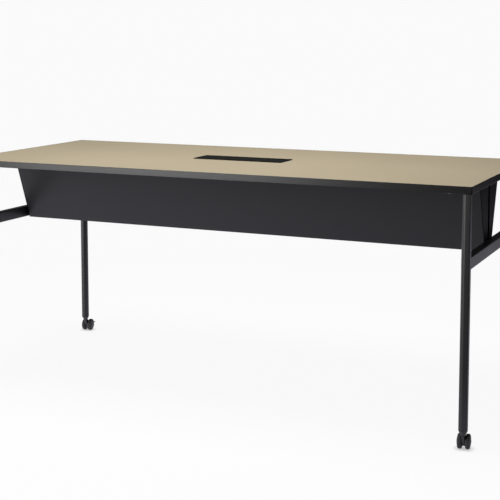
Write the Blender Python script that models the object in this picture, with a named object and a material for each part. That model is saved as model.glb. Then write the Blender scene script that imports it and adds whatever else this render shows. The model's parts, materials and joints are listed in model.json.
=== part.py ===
"""A standing-height communal table on casters, with a lidded cable trough under its top.

Metres, +Z up. The origin lies on the floor under the middle of the top, +X runs along the top and
+Y to its rear long side.
"""

import math

import bmesh
import bpy
from mathutils import Matrix, Vector

# Table top
TOP_LENGTH = 2.438
TOP_DEPTH = 1.068
TABLE_HEIGHT = 1.061
LAMINATE_THICKNESS = 0.0012
CORE_THICKNESS = 0.0260
BACKER_THICKNESS = 0.0010
EDGE_BAND_THICKNESS = 0.0030
CORE_CORNER_RADIUS = 0.0020

# Cable access in the middle of the top
ACCESS_LENGTH = 0.445
ACCESS_WIDTH = 0.139
ACCESS_RISE = 0.0040
ACCESS_WALL = 0.0035
ACCESS_SKIRT = 0.0060
ACCESS_LEDGE = 0.0070
LID_THICKNESS = 0.0070
LID_RECESS = 0.0004
LID_SWING_CLEARANCE = 0.0006
HINGE_INSET = 0.0065
HINGE_PIN_DIAMETER = 0.0030
HINGE_PIN_REACH = 0.0100
FINGER_NOTCH_WIDTH = 0.0240
FINGER_NOTCH_DEPTH = 0.0070

# Cable trough
TROUGH_SETBACK = 0.0115
TROUGH_TOP_WIDTH = 0.334
TROUGH_BOTTOM_WIDTH = 0.1045
TROUGH_BOTTOM = 0.723
SHEET_THICKNESS = 0.0020
FLANGE_WIDTH = 0.0300
FLOOR_LIP = 0.0220
END_PLATE_THICKNESS = 0.0030
CABLE_SLOT_WIDTH = 0.0280
CABLE_SLOT_SILL = 0.0420
PAD_WIDTH = 0.0800
PAD_HEIGHT = 0.0360

# End frames
LEG_WIDTH = 0.0380
LEG_WALL = 0.0020
LEG_CORNER_RADIUS = 0.0030
LEG_LEAST_CORNER_RADIUS = 0.0007
LEG_INSET = 0.0075
PLATE_THICKNESS = 0.0030
PLATE_LENGTH = 0.1000
PLATE_SETBACK = 0.0030
PLATE_CORNER_RADIUS = 0.0060
BAR_WIDTH = 0.0370
BAR_HEIGHT = 0.0508
BAR_TOP = 0.7770
BAR_INSET = 0.0125
BAR_WALL = 0.0020
BAR_COPE = 0.0125
BAR_END_BLOCK = 0.0240
VENT_DIAMETER = 0.0080
VENT_SPACING = 0.7200

# Casters
WHEEL_DIAMETER = 0.0620
WHEEL_GAP = 0.0140
TREAD_WIDTH = 0.0180
TREAD_DEPTH = 0.0065
TREAD_SHOULDER = 0.0060
HUB_DOME = 0.0040
AXLE_DIAMETER = 0.0080
AXLE_REACH = 0.0090
CASTER_TRAIL = 0.0300
CASTER_HEIGHT = 0.0850
FORK_WIDTH = 0.0120
FORK_HUB_DIAMETER = 0.0390
FORK_NECK_HEIGHT = 0.0570
FORK_LUG_DIAMETER = 0.0120
STEM_DIAMETER = 0.0110
STEM_IN_FORK = 0.0220
STEM_IN_SOCKET = 0.0300
COLLAR_DIAMETER = 0.0190
COLLAR_HEIGHT = 0.0015
SOCKET_HEIGHT = 0.0360
PEDAL_PIVOT_BACK = 0.0150
PEDAL_PIVOT_RISE = 0.0130
PEDAL_BOSS_DIAMETER = 0.0090
PEDAL_PIN_DIAMETER = 0.0040
PEDAL_PIN_LENGTH = 0.0100
PEDAL_ARM_WIDTH = 0.0060
PEDAL_ARM_LENGTH = 0.0205
PEDAL_WIDTH = 0.0440
PEDAL_LENGTH = 0.0150
PEDAL_THICKNESS = 0.0035
PEDAL_ARM_DROP = math.radians(10)
PEDAL_DROP = math.radians(24)

# How far each caster is turned from trailing straight to the rear
CASTER_TURNS = {
    "front_left": math.radians(186),
    "front_right": math.radians(6),
    "rear_left": math.radians(6),
    "rear_right": math.radians(6),
}
CORNERS = {
    "front_left": (-1, -1),
    "front_right": (1, -1),
    "rear_left": (-1, 1),
    "rear_right": (1, 1),
}
ENDS = {"left": -1, "right": 1}
SIDES = {"front": -1, "rear": 1}

# Clearances
FIT = 0.0003
SWIVEL_GAP = 0.0006
SLOT_CLEARANCE = 0.0005
SLOT_END_CLEARANCE = 0.0020
CUTTER_MARGIN = 0.0100
MERGE_DISTANCE = 0.000001

# Facets of round shapes, and the angle up to which they are shaded smooth
WHEEL_FACETS = 24
PIN_FACETS = 16
LEG_ARC_FACETS = 18
FILLET_FACETS = 3
SHOULDER_FACETS = 3
DOME_FACETS = 4
SMOOTH_ANGLE = math.radians(32)

# Levels and places that follow from the sizes above
BAND_HEIGHT = LAMINATE_THICKNESS + CORE_THICKNESS + BACKER_THICKNESS + 2 * FIT
UNDERSIDE = TABLE_HEIGHT - BAND_HEIGHT
CORE_BOTTOM = UNDERSIDE + BACKER_THICKNESS + FIT
CORE_TOP = CORE_BOTTOM + CORE_THICKNESS
CORE_LENGTH = TOP_LENGTH - 2 * (EDGE_BAND_THICKNESS + FIT)
CORE_DEPTH = TOP_DEPTH - 2 * (EDGE_BAND_THICKNESS + FIT)
LEG_RADIUS = LEG_WIDTH / 2
LEG_X = TOP_LENGTH / 2 - LEG_INSET - LEG_RADIUS
LEG_Y = TOP_DEPTH / 2 - LEG_INSET - LEG_RADIUS
LEG_BOTTOM = CASTER_HEIGHT + SWIVEL_GAP
LEG_TOP = UNDERSIDE - FIT - PLATE_THICKNESS - FIT
BAR_OUTER = TOP_LENGTH / 2 - BAR_INSET
BAR_INNER = BAR_OUTER - BAR_WIDTH
BAR_END = LEG_Y - BAR_COPE
TROUGH_HEIGHT = UNDERSIDE - FIT - TROUGH_BOTTOM
TROUGH_LEAN = (TROUGH_TOP_WIDTH - TROUGH_BOTTOM_WIDTH) / 2 / TROUGH_HEIGHT
SHEET_ACROSS = SHEET_THICKNESS * math.hypot(1, TROUGH_LEAN)
HINGE_SWING = math.hypot(HINGE_INSET, LID_THICKNESS / 2)
LID_GAP = HINGE_SWING - HINGE_INSET + LID_SWING_CLEARANCE
LID_LENGTH = ACCESS_LENGTH - 2 * (ACCESS_WALL + LID_GAP)
LID_WIDTH = ACCESS_WIDTH - 2 * (ACCESS_WALL + LID_GAP)
HINGE_Y = LID_WIDTH / 2 - HINGE_INSET
ACCESS_TOP = TABLE_HEIGHT + ACCESS_RISE
HINGE_Z = ACCESS_TOP - LID_RECESS - LID_THICKNESS / 2
# The wheels stand on a flat facet, so their axle lies at the height of a facet's middle.
AXLE_HEIGHT = WHEEL_DIAMETER / 2 * math.cos(math.pi / WHEEL_FACETS)

FINISHES = {
    "tan_laminate": ((0.47, 0.39, 0.25), 0.55, 0.0),
    "black_edge": ((0.030, 0.030, 0.032), 0.45, 0.0),
    "board": ((0.30, 0.21, 0.13), 0.80, 0.0),
    "black_sheet": ((0.020, 0.020, 0.021), 0.60, 0.0),
    "black_moulding": ((0.024, 0.024, 0.026), 0.50, 0.0),
    "black_panel": ((0.016, 0.016, 0.017), 0.50, 0.0),
    "charcoal_coat": ((0.028, 0.028, 0.031), 0.48, 0.0),
    "steel": ((0.55, 0.55, 0.56), 0.35, 1.0),
    "black_nylon": ((0.020, 0.020, 0.021), 0.45, 0.0),
    "rubber": ((0.030, 0.030, 0.031), 0.70, 0.0),
}

# Turns a shape drawn in (u, v) and raised along w so that w runs along X, u along Y and v along Z
ALONG_X = Matrix(((0, 0, 1, 0), (1, 0, 0, 0), (0, 1, 0, 0), (0, 0, 0, 1)))


def clear_scene():
    for leftover in list(bpy.data.objects):
        bpy.data.objects.remove(leftover, do_unlink=True)


def add_object(name, shape, finish=None, parent=None, location=(0, 0, 0)):
    """A named object from a finished bmesh; with no finish it is a cutter that isn't rendered."""
    bmesh.ops.recalc_face_normals(shape, faces=shape.faces)
    if shape.calc_volume(signed=True) < 0:
        bmesh.ops.reverse_faces(shape, faces=shape.faces)
    mesh = bpy.data.meshes.new(name)
    shape.to_mesh(mesh)
    shape.free()
    piece = bpy.data.objects.new(name, mesh)
    bpy.context.collection.objects.link(piece)
    piece.parent = parent
    piece.location = location
    if finish is None:
        piece.hide_render = True
        piece.display_type = "WIRE"
        return piece
    mesh.shade_smooth()
    mesh.set_sharp_from_angle(angle=SMOOTH_ANGLE)
    colour, roughness, metallic = FINISHES[finish]
    material = bpy.data.materials.new(f"{name}_{finish}")
    material.use_nodes = True
    shader = material.node_tree.nodes["Principled BSDF"]
    shader.inputs["Base Color"].default_value = (*colour, 1.0)
    shader.inputs["Roughness"].default_value = roughness
    shader.inputs["Metallic"].default_value = metallic
    mesh.materials.append(material)
    return piece


def boolean(piece, tool, operation):
    modifier = piece.modifiers.new(f"{operation.lower()}_{tool.name}", "BOOLEAN")
    modifier.operation = operation
    modifier.object = tool


def cut(piece, tool):
    boolean(piece, tool, "DIFFERENCE")


def join(piece, tool):
    boolean(piece, tool, "UNION")


def arc(centre, radius, start, end, facets):
    """Points on an arc from one angle to another, both ends included."""
    angles = [start + (end - start) * step / facets for step in range(facets + 1)]
    return [
        (centre[0] + radius * math.cos(angle), centre[1] + radius * math.sin(angle))
        for angle in angles
    ]


def rectangle(length, width, radius=0.0, centre=(0, 0)):
    """A rectangle's outline, with rounded corners where a radius is given."""
    x, y = length / 2 - radius, width / 2 - radius
    quarter = math.pi / 2
    outline = []
    for turn, (sx, sy) in enumerate(((1, 1), (-1, 1), (-1, -1), (1, -1))):
        middle = (centre[0] + sx * x, centre[1] + sy * y)
        if radius:
            outline += arc(middle, radius, turn * quarter, (turn + 1) * quarter, FILLET_FACETS)
        else:
            outline.append(middle)
    return outline


def hull(circles, facets=PIN_FACETS):
    """The convex outline round a few circles, each given as (centre, radius)."""
    points = []
    for centre, radius in circles:
        points += arc(centre, radius, 0, 2 * math.pi * (1 - 1 / facets), facets - 1)
    points.sort()
    outline = []
    for run in (points, points[::-1]):
        chain = []
        for point in run:
            while len(chain) > 1 and turn_of(chain[-2], chain[-1], point) <= 0:
                chain.pop()
            chain.append(point)
        outline += chain[:-1]
    return outline


def turn_of(a, b, c):
    return (b[0] - a[0]) * (c[1] - a[1]) - (b[1] - a[1]) * (c[0] - a[0])


def prism(outline, low, high, turned=None):
    """A flat outline raised from low to high."""
    shape = bmesh.new()
    base = shape.faces.new([shape.verts.new((*point, low)) for point in outline])
    raised = bmesh.ops.extrude_face_region(shape, geom=[base])["geom"]
    tops = [part for part in raised if isinstance(part, bmesh.types.BMVert)]
    bmesh.ops.translate(shape, verts=tops, vec=(0, 0, high - low))
    if turned is not None:
        shape.transform(turned)
    return shape


def block(length, width, low, high, centre=(0, 0)):
    return prism(rectangle(length, width, centre=centre), low, high)


def tube(outer, inner, low, high):
    """A wall between two outlines of as many points, open at both ends."""
    shape = bmesh.new()
    rings = []
    for outline, level in ((outer, low), (outer, high), (inner, high), (inner, low)):
        rings.append([shape.verts.new((*point, level)) for point in outline])
    for ring, after in zip(rings, rings[1:] + rings[:1]):
        for step in range(len(ring)):
            last = step - 1
            shape.faces.new((ring[last], ring[step], after[step], after[last]))
    return shape


def turning(profile, facets, closed=False, turned=None):
    """A profile of (radius, height) points turned about Z; a closed one makes a ring."""
    shape = bmesh.new()
    half_facet = Matrix.Rotation(math.pi / facets, 3, "Z")
    verts = [shape.verts.new(half_facet @ Vector((radius, 0, height))) for radius, height in profile]
    pairs = list(zip(verts, verts[1:]))
    if closed:
        pairs.append((verts[-1], verts[0]))
    edges = [shape.edges.new(pair) for pair in pairs]
    bmesh.ops.spin(
        shape,
        geom=verts + edges,
        cent=(0, 0, 0),
        axis=(0, 0, 1),
        angle=2 * math.pi,
        steps=facets,
        use_merge=True,
        use_duplicate=False,
    )
    bmesh.ops.remove_doubles(shape, verts=shape.verts, dist=MERGE_DISTANCE)
    if turned is not None:
        shape.transform(turned)
    return shape


def cylinder(diameter, low, high, facets=PIN_FACETS, turned=None):
    radius = diameter / 2
    return turning([(0, low), (radius, low), (radius, high), (0, high)], facets, turned=turned)


def moved(x=0.0, y=0.0, z=0.0):
    return Matrix.Translation((x, y, z))


def make_top():
    """The board, its two skins and its edge band, all cut through for the cable access."""
    outline = rectangle(CORE_LENGTH, CORE_DEPTH, CORE_CORNER_RADIUS)
    layers = (
        ("top_core", CORE_BOTTOM, CORE_TOP, "board"),
        ("top_laminate", CORE_TOP + FIT, TABLE_HEIGHT, "tan_laminate"),
        ("top_backer", UNDERSIDE, CORE_BOTTOM - FIT, "black_sheet"),
    )
    opening = add_object(
        "access_cutter",
        block(
            ACCESS_LENGTH + 2 * FIT,
            ACCESS_WIDTH + 2 * FIT,
            UNDERSIDE - CUTTER_MARGIN,
            TABLE_HEIGHT + CUTTER_MARGIN,
        ),
    )
    for name, low, high, finish in layers:
        cut(add_object(name, prism(outline, low, high), finish), opening)
    inner_radius = CORE_CORNER_RADIUS + FIT
    outer = rectangle(TOP_LENGTH, TOP_DEPTH, inner_radius + EDGE_BAND_THICKNESS)
    inner = rectangle(CORE_LENGTH + 2 * FIT, CORE_DEPTH + 2 * FIT, inner_radius)
    add_object("edge_band", tube(outer, inner, UNDERSIDE, TABLE_HEIGHT), "black_edge")


def make_access():
    """The liner, its rim proud of the top, the lid that drops into it and the lid's two pins."""
    inside = ACCESS_LENGTH - 2 * ACCESS_WALL
    across = ACCESS_WIDTH - 2 * ACCESS_WALL
    lid_seat = HINGE_Z - LID_THICKNESS / 2 - FIT
    bottom = UNDERSIDE - ACCESS_SKIRT
    above = ACCESS_TOP + CUTTER_MARGIN
    liner = add_object(
        "access_liner", block(ACCESS_LENGTH, ACCESS_WIDTH, bottom, ACCESS_TOP), "black_moulding"
    )
    cut(liner, add_object("lid_pocket_cutter", block(inside, across, lid_seat, above)))
    throat = block(
        inside, across - ACCESS_LEDGE, bottom - CUTTER_MARGIN, above, centre=(0, ACCESS_LEDGE / 2)
    )
    cut(liner, add_object("access_throat_cutter", throat))

    lid = add_object(
        "access_lid",
        block(LID_LENGTH, LID_WIDTH, -LID_THICKNESS / 2, LID_THICKNESS / 2, centre=(0, -HINGE_Y)),
        "black_moulding",
        location=(0, HINGE_Y, HINGE_Z),
    )
    # A round notch in the front edge, as wide and as deep as a finger needs
    notch_radius = (FINGER_NOTCH_WIDTH**2 / 4 + FINGER_NOTCH_DEPTH**2) / (2 * FINGER_NOTCH_DEPTH)
    notch_centre = -LID_WIDTH / 2 + FINGER_NOTCH_DEPTH - notch_radius
    notch = cylinder(
        2 * notch_radius, HINGE_Z - LID_THICKNESS, above, WHEEL_FACETS, moved(y=notch_centre)
    )
    cut(lid, add_object("finger_notch_cutter", notch))

    pin_start = ACCESS_LENGTH / 2
    pin_end = LID_LENGTH / 2 - HINGE_PIN_REACH
    for end, sign in ENDS.items():
        low, high = sorted((sign * pin_start, sign * pin_end))
        along = moved(y=HINGE_Y, z=HINGE_Z) @ ALONG_X
        pin = cylinder(HINGE_PIN_DIAMETER, low, high, turned=along)
        add_object(f"{end}_hinge_pin", pin, "steel")
        hole = cylinder(
            HINGE_PIN_DIAMETER + 2 * FIT,
            low - FIT if sign > 0 else low - CUTTER_MARGIN,
            high + CUTTER_MARGIN if sign > 0 else high + FIT,
            turned=along,
        )
        hole_cutter = add_object(f"{end}_hinge_hole_cutter", hole)
        cut(liner, hole_cutter)
        cut(lid, hole_cutter)


def fascia_y(height, inset=0.0):
    """Half the trough's width at a height, less an inset measured across."""
    return TROUGH_BOTTOM_WIDTH / 2 + TROUGH_LEAN * (height - TROUGH_BOTTOM) - inset


def make_trough():
    """Two leaning fascias hung from the top by flanges, a floor between them and slotted end plates."""
    top = UNDERSIDE - FIT
    under_flange = top - SHEET_THICKNESS
    half = BAR_INNER - TROUGH_SETBACK
    flange_end = fascia_y(top) - FLANGE_WIDTH
    fascia = [
        (fascia_y(TROUGH_BOTTOM), TROUGH_BOTTOM),
        (fascia_y(top), top),
        (flange_end, top),
        (flange_end, under_flange),
        (fascia_y(under_flange, SHEET_ACROSS), under_flange),
        (fascia_y(TROUGH_BOTTOM, SHEET_ACROSS), TROUGH_BOTTOM),
    ]
    for side, sign in SIDES.items():
        outline = [(sign * y, z) for y, z in fascia]
        add_object(f"{side}_fascia", prism(outline, -half, half, ALONG_X), "black_panel")

    floor_top = TROUGH_BOTTOM + SHEET_THICKNESS
    lip_top = TROUGH_BOTTOM + FLOOR_LIP
    outside = SHEET_ACROSS + FIT * math.hypot(1, TROUGH_LEAN)
    inside = outside + SHEET_ACROSS
    right_half = [
        (fascia_y(TROUGH_BOTTOM, outside), TROUGH_BOTTOM),
        (fascia_y(lip_top, outside), lip_top),
        (fascia_y(lip_top, inside), lip_top),
        (fascia_y(floor_top, inside), floor_top),
    ]
    outline = right_half + [(-y, z) for y, z in right_half[::-1]]
    add_object("trough_floor", prism(outline, -half, half, ALONG_X), "black_panel")

    sill = TROUGH_BOTTOM + CABLE_SLOT_SILL
    plate = [
        (fascia_y(TROUGH_BOTTOM), TROUGH_BOTTOM),
        (fascia_y(top), top),
        (CABLE_SLOT_WIDTH / 2, top),
        (CABLE_SLOT_WIDTH / 2, sill),
    ]
    plate += [(-y, z) for y, z in plate[::-1]]
    plate_start = half + FIT
    plate_end = plate_start + END_PLATE_THICKNESS
    pad_bottom = BAR_TOP - BAR_HEIGHT
    pad = rectangle(PAD_WIDTH, PAD_HEIGHT, centre=(0, pad_bottom + PAD_HEIGHT / 2))
    for end, sign in ENDS.items():
        low, high = sorted((sign * plate_start, sign * plate_end))
        end_plate = add_object(f"{end}_end_plate", prism(plate, low, high, ALONG_X), "black_panel")
        # The pad that the end plate is bolted to the crossbar through
        middle = (plate_start + plate_end) / 2
        low, high = sorted((sign * middle, sign * (BAR_INNER - FIT)))
        pad_piece = add_object(f"{end}_pad_joiner", prism(pad, low, high, ALONG_X))
        join(end_plate, pad_piece)


def leg_outline(sx, sy, inset=0.0):
    """A circle with one square corner, which points out to the table's corner (sx, sy)."""
    radius = LEG_RADIUS - inset
    corner = max(LEG_CORNER_RADIUS - inset, LEG_LEAST_CORNER_RADIUS)
    middle = (radius - corner, radius - corner)
    outline = arc(middle, corner, 0, math.pi / 2, FILLET_FACETS)
    outline += arc((0, 0), radius, math.pi / 2, 2 * math.pi, LEG_ARC_FACETS)
    return [(LEG_X * sx + sx * x, LEG_Y * sy + sy * y) for x, y in outline]


def make_frame():
    """Four corner legs with their top plates and caster sockets, and a crossbar at each end."""
    leg_cutters = {}
    plate_middle = LEG_RADIUS - PLATE_SETBACK - PLATE_LENGTH / 2
    for corner, (sx, sy) in CORNERS.items():
        outer = leg_outline(sx, sy)
        bore = leg_outline(sx, sy, LEG_WALL)
        add_object(f"{corner}_leg", tube(outer, bore, LEG_BOTTOM, LEG_TOP), "charcoal_coat")
        centre = (sx * (LEG_X + plate_middle), sy * (LEG_Y + plate_middle))
        plate = rectangle(PLATE_LENGTH, PLATE_LENGTH, PLATE_CORNER_RADIUS, centre)
        plate_bottom = LEG_TOP + FIT
        add_object(
            f"{corner}_leg_plate",
            prism(plate, plate_bottom, plate_bottom + PLATE_THICKNESS),
            "charcoal_coat",
        )
        plug = leg_outline(sx, sy, LEG_WALL + FIT)
        socket = add_object(
            f"{corner}_socket", prism(plug, LEG_BOTTOM, LEG_BOTTOM + SOCKET_HEIGHT), "black_nylon"
        )
        bore_cutter = cylinder(
            STEM_DIAMETER + 2 * FIT,
            LEG_BOTTOM - CUTTER_MARGIN,
            LEG_BOTTOM + SOCKET_HEIGHT + CUTTER_MARGIN,
            turned=moved(sx * LEG_X, sy * LEG_Y),
        )
        cut(socket, add_object(f"{corner}_socket_bore_cutter", bore_cutter))
        around = leg_outline(sx, sy, -FIT)
        leg_cutters[corner] = add_object(f"{corner}_cope_cutter", prism(around, LEG_BOTTOM, LEG_TOP))

    bar_bottom = BAR_TOP - BAR_HEIGHT
    bar_middle = (BAR_OUTER + BAR_INNER) / 2
    for end, sign in ENDS.items():
        x = sign * bar_middle
        bar = add_object(
            f"{end}_crossbar",
            block(BAR_WIDTH, 2 * BAR_END, bar_bottom, BAR_TOP, centre=(x, 0)),
            "charcoal_coat",
        )
        for side in SIDES:
            cut(bar, leg_cutters[f"{side}_{end}"])
        hollow = block(
            BAR_WIDTH - 2 * BAR_WALL,
            2 * (BAR_END - BAR_END_BLOCK),
            bar_bottom + BAR_WALL,
            BAR_TOP - BAR_WALL,
            centre=(x, 0),
        )
        cut(bar, add_object(f"{end}_crossbar_hollow_cutter", hollow))
        # Drain holes of the hollow bar, in its underside
        for side, along in SIDES.items():
            vent = cylinder(
                VENT_DIAMETER,
                bar_bottom - CUTTER_MARGIN,
                bar_bottom + BAR_HEIGHT / 2,
                turned=moved(x, along * VENT_SPACING / 2),
            )
            cut(bar, add_object(f"{side}_{end}_vent_cutter", vent))


def make_stem(name, pivot):
    """The steel stem, fixed in the leg's socket, with the collar that the fork turns under."""
    collar_top = LEG_BOTTOM - FIT
    collar_bottom = collar_top - COLLAR_HEIGHT
    radius = STEM_DIAMETER / 2
    profile = [
        (0, CASTER_HEIGHT - STEM_IN_FORK),
        (radius, CASTER_HEIGHT - STEM_IN_FORK),
        (radius, collar_bottom),
        (COLLAR_DIAMETER / 2, collar_bottom),
        (COLLAR_DIAMETER / 2, collar_top),
        (radius, collar_top),
        (radius, LEG_BOTTOM + STEM_IN_SOCKET),
        (0, LEG_BOTTOM + STEM_IN_SOCKET),
    ]
    add_object(f"{name}_stem", turning(profile, PIN_FACETS), "steel", pivot)


def make_fork(name, pivot):
    """The cone under the leg and the web between the wheels, bored for stem, axle and pedal."""
    web_half = FORK_WIDTH / 2
    web = hull(
        [
            ((0, FORK_NECK_HEIGHT), web_half),
            ((CASTER_TRAIL, AXLE_HEIGHT), FORK_HUB_DIAMETER / 2),
            (
                (CASTER_TRAIL + PEDAL_PIVOT_BACK, AXLE_HEIGHT + PEDAL_PIVOT_RISE),
                FORK_LUG_DIAMETER / 2,
            ),
        ],
        WHEEL_FACETS,
    )
    fork = add_object(
        f"{name}_fork", prism(web, -web_half, web_half, ALONG_X), "black_nylon", pivot
    )
    neck_radius = web_half - SLOT_CLEARANCE
    cone = [
        (0, FORK_NECK_HEIGHT),
        (neck_radius, FORK_NECK_HEIGHT),
        (LEG_RADIUS, CASTER_HEIGHT),
        (0, CASTER_HEIGHT),
    ]
    join(fork, add_object(f"{name}_cone_joiner", turning(cone, WHEEL_FACETS), parent=pivot))
    collar_seat = LEG_BOTTOM - FIT - COLLAR_HEIGHT - FIT
    bore = STEM_DIAMETER / 2 + FIT
    seat = COLLAR_DIAMETER / 2 + FIT
    above = CASTER_HEIGHT + CUTTER_MARGIN
    bores = [
        (0, CASTER_HEIGHT - STEM_IN_FORK - FIT),
        (bore, CASTER_HEIGHT - STEM_IN_FORK - FIT),
        (bore, collar_seat),
        (seat, collar_seat),
        (seat, above),
        (0, above),
    ]
    cut(fork, add_object(f"{name}_stem_bore_cutter", turning(bores, PIN_FACETS), parent=pivot))
    axle_hole = cylinder(
        AXLE_DIAMETER + 2 * FIT,
        -FORK_WIDTH,
        FORK_WIDTH,
        turned=moved(y=CASTER_TRAIL, z=AXLE_HEIGHT) @ ALONG_X,
    )
    cut(fork, add_object(f"{name}_axle_bore_cutter", axle_hole, parent=pivot))
    # The slot that the pedal's boss and arm swing in, and the hole for its pin
    pivot_y = CASTER_TRAIL + PEDAL_PIVOT_BACK
    pivot_z = AXLE_HEIGHT + PEDAL_PIVOT_RISE
    slot_reach = PEDAL_BOSS_DIAMETER / 2 + SLOT_END_CLEARANCE
    slot = block(
        PEDAL_ARM_WIDTH + 2 * SLOT_CLEARANCE,
        slot_reach + PEDAL_ARM_LENGTH,
        pivot_z - slot_reach - SLOT_CLEARANCE,
        pivot_z + FORK_LUG_DIAMETER,
        centre=(0, pivot_y + (PEDAL_ARM_LENGTH - slot_reach) / 2),
    )
    cut(fork, add_object(f"{name}_pedal_slot_cutter", slot, parent=pivot))
    pin_hole = cylinder(
        PEDAL_PIN_DIAMETER + 2 * FIT,
        -PEDAL_PIN_LENGTH / 2 - FIT,
        PEDAL_PIN_LENGTH / 2 + FIT,
        turned=moved(y=pivot_y, z=pivot_z) @ ALONG_X,
    )
    cut(fork, add_object(f"{name}_pedal_pin_cutter", pin_hole, parent=pivot))


def make_wheel(name, pivot, side, sign):
    """One of the twin wheels: a hub with a domed face and a blind axle bore, and its tyre."""
    radius = WHEEL_DIAMETER / 2
    tread_inside = radius - TREAD_DEPTH
    hub_radius = tread_inside - FIT
    round_off = TREAD_SHOULDER
    quarter = math.pi / 2
    tyre = [(tread_inside, 0)]
    tyre += arc((radius - round_off, round_off), round_off, -quarter, 0, SHOULDER_FACETS)
    far_corner = (radius - round_off, TREAD_WIDTH - round_off)
    tyre += arc(far_corner, round_off, 0, quarter, SHOULDER_FACETS)
    tyre.append((tread_inside, TREAD_WIDTH))

    bore = AXLE_DIAMETER / 2 + FIT
    bore_end = AXLE_REACH + FIT
    dome_radius = (hub_radius**2 + HUB_DOME**2) / (2 * HUB_DOME)
    dome_centre = TREAD_WIDTH + HUB_DOME - dome_radius
    rim_angle = math.acos(hub_radius / dome_radius)
    hub = [(0, bore_end), (bore, bore_end), (bore, 0), (hub_radius, 0)]
    dome = arc((0, dome_centre), dome_radius, rim_angle, quarter, DOME_FACETS)
    hub += dome[:-1] + [(0, TREAD_WIDTH + HUB_DOME)]

    inner_face = WHEEL_GAP / 2
    outward = Matrix.Diagonal((sign, 1, 1, 1)) @ moved(x=inner_face) @ ALONG_X
    place = (0, CASTER_TRAIL, AXLE_HEIGHT)
    add_object(
        f"{name}_{side}_hub", turning(hub, WHEEL_FACETS, turned=outward), "black_nylon", pivot, place
    )
    add_object(
        f"{name}_{side}_tyre",
        turning(tyre, WHEEL_FACETS, closed=True, turned=outward),
        "rubber",
        pivot,
        place,
    )


def make_pedal(name, pivot):
    """The brake pedal: a boss with its pin, an arm out between the wheels and a wide foot plate."""
    edge = PEDAL_THICKNESS / 2
    elbow = Vector((math.cos(PEDAL_ARM_DROP), -math.sin(PEDAL_ARM_DROP))) * PEDAL_ARM_LENGTH
    tip = elbow + Vector((math.cos(PEDAL_DROP), -math.sin(PEDAL_DROP))) * PEDAL_LENGTH
    arm = hull([((0, 0), PEDAL_BOSS_DIAMETER / 2), (tuple(elbow), edge)])
    plate = hull([(tuple(elbow), edge), (tuple(tip), edge)])
    place = (0, CASTER_TRAIL + PEDAL_PIVOT_BACK, AXLE_HEIGHT + PEDAL_PIVOT_RISE)
    half_arm = PEDAL_ARM_WIDTH / 2
    pedal = add_object(
        f"{name}_brake_pedal", prism(arm, -half_arm, half_arm, ALONG_X), "black_nylon", pivot, place
    )
    half_plate = PEDAL_WIDTH / 2
    foot_plate = add_object(
        f"{name}_foot_plate_joiner",
        prism(plate, -half_plate, half_plate, ALONG_X),
        parent=pivot,
        location=place,
    )
    join(pedal, foot_plate)
    half_pin = PEDAL_PIN_LENGTH / 2
    pin = cylinder(PEDAL_PIN_DIAMETER, -half_pin, half_pin, turned=ALONG_X)
    join(pedal, add_object(f"{name}_pedal_pin_joiner", pin, parent=pivot, location=place))


def make_casters():
    """A twin-wheel caster under each leg, turned about its own swivel axis."""
    for corner, (sx, sy) in CORNERS.items():
        name = f"{corner}_caster"
        pivot = bpy.data.objects.new(f"{name}_pivot", None)
        bpy.context.collection.objects.link(pivot)
        pivot.location = (sx * LEG_X, sy * LEG_Y, 0)
        pivot.rotation_euler.z = CASTER_TURNS[corner]
        make_stem(name, pivot)
        make_fork(name, pivot)
        half_axle = WHEEL_GAP / 2 + AXLE_REACH
        axle = cylinder(AXLE_DIAMETER, -half_axle, half_axle, turned=ALONG_X)
        add_object(f"{name}_axle", axle, "steel", pivot, (0, CASTER_TRAIL, AXLE_HEIGHT))
        for side, sign in ENDS.items():
            make_wheel(name, pivot, side, sign)
        make_pedal(name, pivot)


def main():
    clear_scene()
    make_top()
    make_access()
    make_trough()
    make_frame()
    make_casters()


main()
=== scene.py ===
"""Dresses the communal table: rounded pieces, finishes, screws, stage and camera.

Metres, +Z up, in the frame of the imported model.
"""

import json
import math

import bmesh
import bpy
from bpy.props import FloatProperty, FloatVectorProperty, IntProperty, PointerProperty
from mathutils import Matrix, Vector


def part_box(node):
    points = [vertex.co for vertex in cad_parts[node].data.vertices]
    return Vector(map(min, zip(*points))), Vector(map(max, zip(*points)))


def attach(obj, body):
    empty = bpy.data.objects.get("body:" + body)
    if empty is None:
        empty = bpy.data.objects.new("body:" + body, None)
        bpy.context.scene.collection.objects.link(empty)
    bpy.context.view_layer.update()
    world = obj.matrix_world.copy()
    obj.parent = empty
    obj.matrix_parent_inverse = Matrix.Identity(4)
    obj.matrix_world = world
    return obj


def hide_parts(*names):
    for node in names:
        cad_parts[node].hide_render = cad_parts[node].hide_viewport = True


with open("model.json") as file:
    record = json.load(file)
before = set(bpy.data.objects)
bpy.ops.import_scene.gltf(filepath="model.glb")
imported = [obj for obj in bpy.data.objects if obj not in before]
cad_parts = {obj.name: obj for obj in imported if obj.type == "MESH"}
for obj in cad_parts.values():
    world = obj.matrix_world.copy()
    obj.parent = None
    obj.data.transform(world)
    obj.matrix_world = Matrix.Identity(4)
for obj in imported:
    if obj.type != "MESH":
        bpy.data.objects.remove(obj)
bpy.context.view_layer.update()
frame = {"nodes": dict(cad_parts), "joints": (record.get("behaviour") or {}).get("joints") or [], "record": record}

bl_info = {
    "name": "Communal table dressing",
    "version": (1, 0, 0),
    "blender": (4, 5, 0),
    "location": "View3D > Sidebar > Table",
    "description": "Models and finishes the visible pieces of a communal table on casters",
    "category": "Object",
}

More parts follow.
